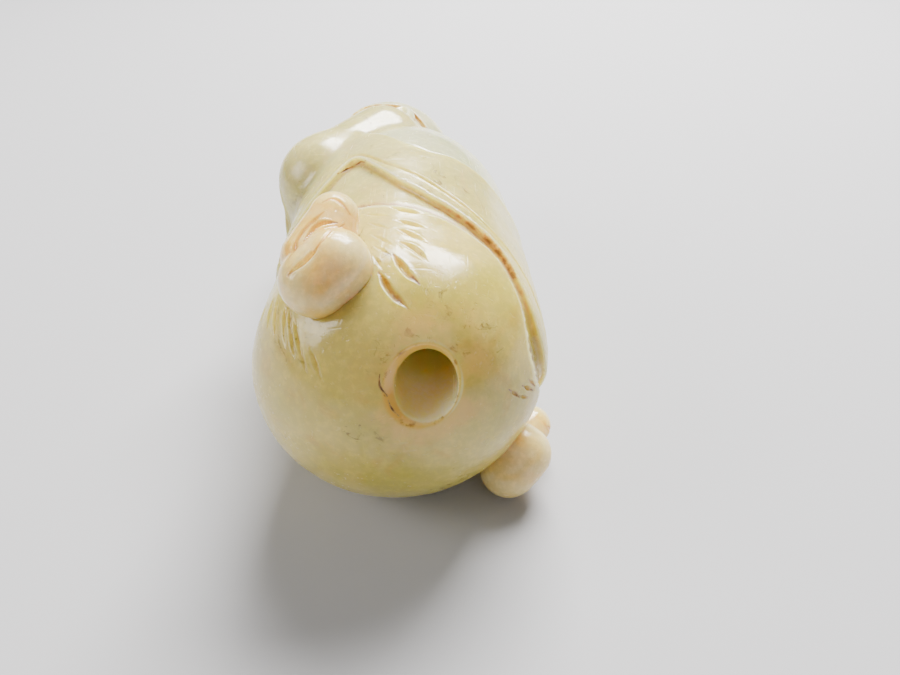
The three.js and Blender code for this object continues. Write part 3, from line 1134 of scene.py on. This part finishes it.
def dirt_group():
    """Old brown dirt lying in the cuts and hollows, broken up so that it sits in patches."""
    inputs = (("Color", a_colour), ("Dirt Colour", a_colour), ("Amount", a_number))
    outputs = (("Color", a_colour), ("Dirt", a_number))
    tree, given, result = new_group("ShaderNodeTree", "dirt_in_cuts", inputs, outputs)
    patch = tree.fade(stone_noise(tree, 900.0, 4.0, 0.65), 0.34, 0.62, 0.35, 1.2)
    cuts = tree.times(mask(tree, "cut"), patch)
    hollow = tree.times(tree.fade(mask(tree, "hollow"), 0.35, 1.0), patch)
    most = tree.math("MAXIMUM", cuts, tree.times(hollow, 0.75))
    amount = {0: most, 1: given["Amount"]}
    dirt = tree.add("ShaderNodeMath", amount, operation="MULTIPLY", use_clamp=True).outputs[0]
    pale_halo = mix(tree, tree.fade(dirt, 0.02, 0.6), given["Color"], (0.52, 0.31, 0.08, 1))
    colour = mix(tree, tree.fade(dirt, 0.35, 1.0), pale_halo, given["Dirt Colour"])
    tree.feed(result["Color"], colour)
    tree.feed(result["Dirt"], dirt)
    return tree.tree


def polish_group():
    """A hand polish: dull in the dirt, with fine scratches and faint grinding marks."""
    inputs = (("Gloss", a_number), ("Dirt", a_number))
    outputs = (("Roughness", a_number), ("Normal", a_vector))
    tree, given, result = new_group("ShaderNodeTree", "hand_polish", inputs, outputs)
    lengthwise = stone_noise(tree, 2600.0, 2.0, 0.5, 0.0, (1, 0.05, 1))
    crosswise = stone_noise(tree, 2300.0, 2.0, 0.5, 0.0, (0.06, 1, 0.6))
    lengthwise = tree.fade(lengthwise, 0.62, 0.74)
    scratches = tree.math("MAXIMUM", lengthwise, tree.fade(crosswise, 0.63, 0.75))
    smears = tree.fade(stone_noise(tree, 320.0, 4.0, 0.6), 0.3, 0.7, -0.05, 0.1)
    rough = tree.math("ADD", given["Gloss"], smears)
    rough = tree.math("ADD", rough, tree.times(scratches, 0.1))
    rough = tree.math("ADD", rough, tree.times(given["Dirt"], 0.45))
    pits = tree.fade(stone_noise(tree, 3800.0, 2.0, 0.5), 0.62, 0.78)
    grain = tree.times(stone_noise(tree, 1400.0, 4.0, 0.55), 0.6)
    height = tree.math("SUBTRACT", grain, tree.times(scratches, 0.5))
    height = tree.math("SUBTRACT", height, tree.times(pits, 0.7))
    bump = tree.add("ShaderNodeBump", {"Height": height})
    bump.inputs["Strength"].default_value = 0.35
    bump.inputs["Distance"].default_value = 0.00006
    tree.feed(result["Roughness"], rough)
    tree.feed(result["Normal"], bump.outputs[0])
    return tree.tree


def use_group(tree, group, values):
    node = tree.add("ShaderNodeGroup", node_tree=group)
    for name, value in values.items():
        tree.feed(node.inputs[name], value)
    return node.outputs


nephrite_ior = 1.61
glow_depth = 0.0042
dirt_brown = (0.12, 0.05, 0.01, 1)


def cloudy(tree, light, deep, veil, cloud_scale):
    colours = {"Light": (*light, 1), "Deep": (*deep, 1), "Veil": (*veil, 1)}
    return use_group(tree, groups["jade"], {**colours, "Cloud Scale": cloud_scale})["Color"]


def start_jade(name, radius):
    material = bpy.data.materials.new(name)
    material.use_nodes = True
    tree = Tree(material.node_tree)
    shader = material.node_tree.nodes["Principled BSDF"]
    shader.inputs["IOR"].default_value = nephrite_ior
    shader.inputs["Subsurface Weight"].default_value = 1.0
    shader.inputs["Subsurface Radius"].default_value = radius
    shader.inputs["Subsurface Scale"].default_value = glow_depth
    return material, tree, shader


def finish_jade(tree, shader, colour, dirt_amount, gloss):
    dirty = use_group(tree, groups["dirt"], {
        "Color": colour, "Dirt Colour": dirt_brown, "Amount": dirt_amount,
    })
    polish = use_group(tree, groups["polish"], {"Gloss": gloss, "Dirt": dirty["Dirt"]})
    tree.feed(shader.inputs["Base Color"], dirty["Color"])
    tree.feed(shader.inputs["Roughness"], polish["Roughness"])
    tree.feed(shader.inputs["Normal"], polish["Normal"])


def stained_seat(tree, colour):
    """Brown threads in the skin, and a warm stain round the bore."""
    thread_brown = (0.17, 0.1, 0.012, 1)
    warm_orange = (0.86, 0.54, 0.14, 1)
    threads = tree.fade(stone_noise(tree, 520.0, 5.0, 0.7, 1.5, (1, 0.6, 1.7)), 0.57, 0.69)
    patches = tree.fade(stone_noise(tree, 120.0, 2.0, 0.5), 0.46, 0.62)
    on_trousers = tree.fade(mask(tree, "pale"), 0.2, 0.7, 0.85, 0.1)
    thread = tree.times(tree.times(threads, patches), on_trousers)
    colour = mix(tree, thread, colour, thread_brown)
    uneven = tree.fade(stone_noise(tree, 300.0, 4.0, 0.6), 0.3, 0.65, 0.4, 1.1)
    warm = tree.times(mask(tree, "warm"), uneven)
    return mix(tree, tree.fade(warm, 0.2, 0.95, 0.0, 0.7), colour, warm_orange)


def bored_hole(tree, colour):
    """A clean golden bore, pale low down by its mouth with a frosted grind and painted light, with
    brown in the mouth's edge.
    """
    bore_gold = (0.94, 0.9, 0.3, 1)
    lit_frost_white = (0.96, 0.9, 0.76, 1)
    flare_gold = (0.85, 0.5, 0.09, 1)
    edge_brown = (0.3, 0.13, 0.02, 1)
    colour = mix(tree, mask(tree, "bore"), colour, bore_gold)
    # Pale on the lower wall by the mouth: partly a frosted grind, partly painted light falling in
    # at the mouth.
    grain = tree.fade(stone_noise(tree, 2400.0, 3.0, 0.6), 0.35, 0.65, 0.55, 1.0)
    frost_and_light = tree.times(mask(tree, "frost_and_light"), grain)
    colour = mix(tree, frost_and_light, colour, lit_frost_white)
    colour = mix(tree, mask(tree, "flare"), colour, flare_gold)
    broken = tree.fade(stone_noise(tree, 700.0, 4.0, 0.7), 0.5, 0.62)
    stain = tree.times(mask(tree, "mouth_edge"), broken)
    return mix(tree, stain, colour, edge_brown)


def yellow_jade():
    """Olive yellow trousers and sleeves that pale towards his back, stained round the bore."""
    material, tree, shader = start_jade("yellow_jade", (1.0, 0.8, 0.28))
    trousers = cloudy(tree, (0.72, 0.58, 0.15), (0.55, 0.46, 0.07), (0.6, 0.36, 0.05), 95.0)
    back = cloudy(tree, (0.7, 0.69, 0.42), (0.58, 0.6, 0.32), (0.76, 0.7, 0.46), 80.0)
    colour = mix(tree, mask(tree, "pale"), trousers, back)
    colour = bored_hole(tree, stained_seat(tree, colour))
    worn = tree.fade(mask(tree, "edged"), 0.35, 1.0, 0.0, 0.5)
    colour = mix(tree, worn, colour, (0.84, 0.78, 0.5, 1))
    finish_jade(tree, shader, colour, 1.0, 0.17)
    return material


def pale_jade():
    """Grey celadon, for the head and the hands."""
    material, tree, shader = start_jade("pale_jade", (1.0, 0.85, 0.5))
    colour = cloudy(tree, (0.7, 0.68, 0.42), (0.58, 0.58, 0.31), (0.72, 0.6, 0.34), 110.0)
    worn = tree.fade(mask(tree, "edged"), 0.4, 1.0, 0.0, 0.4)
    colour = mix(tree, worn, colour, (0.86, 0.84, 0.68, 1))
    finish_jade(tree, shader, colour, 0.7, 0.17)
    return material


def cream_jade():
    """Peach cream shoes, with a painted orange glow in the seams and hollows, where light shines
    through the thin stone.
    """
    material, tree, shader = start_jade("cream_jade", (1.0, 0.9, 0.6))
    colour = cloudy(tree, (0.85, 0.68, 0.32), (0.88, 0.57, 0.12), (0.84, 0.5, 0.1), 150.0)
    # The orange in the seams and hollows is painted glow: light through the thin stone, put into
    # the colour.
    glow_orange = (0.66, 0.34, 0.03, 1)
    cuts = tree.times(mask(tree, "cut"), 2.0)
    seam = tree.math("MAXIMUM", mask(tree, "hollow"), cuts)
    colour = mix(tree, tree.fade(seam, 0.12, 0.9, 0.0, 0.85), colour, glow_orange)
    finish_jade(tree, shader, colour, 0.8, 0.15)
    return material


# ---- the whole figure ----

carving = carving_tree()
groups = {"jade": cloudy_jade_group(), "dirt": dirt_group(), "polish": polish_group()}
yellow = yellow_jade()
pale = pale_jade()
cream = cream_jade()

body_nodes = (
    "trousers", "inner_robe", "jacket", "left_sleeve", "right_sleeve", "left_cuff", "right_cuff",
)
head_nodes = (
    "head", "collar", "left_ear", "right_ear", "left_hair_tuft", "right_hair_tuft",
)
mesh_step = 0.42  # of the body; the smaller pieces are finer

carve("jade_body", body_form, (-17.5, -15, -18), (20, 44, 19), mesh_step, body_guides(),
      yellow, 0.16, 260.0, body_nodes)
carve("jade_head", head_form, (-9, 31, -10), (16, 58, 16), mesh_step * 0.85, head_guides(),
      pale, 0.08, 300.0, head_nodes)
carve("jade_hands", hands_form, (-7, 19, 8), (10, 34, 22), mesh_step * 0.7, hand_guides(),
      pale, 0.05, 400.0, ("left_hand", "right_hand"))
carve("jade_left_shoe", left_shoe_form, (5, -11, -12), (22.5, 7, 4), mesh_step * 0.8,
      shoe_guides(left_shoe_form, left_toe, 1), cream, 0.06, 400.0,
      ("left_shoe_toe", "left_shoe_upper"))
carve("jade_right_shoe", right_shoe_form, (-23.5, -11, -12), (-6, 7, 4), mesh_step * 0.8,
      shoe_guides(right_shoe_form, right_toe, -1), cream, 0.06, 400.0,
      ("right_shoe_toe", "right_shoe_upper"))

make_camera()
make_floor()
make_studio()
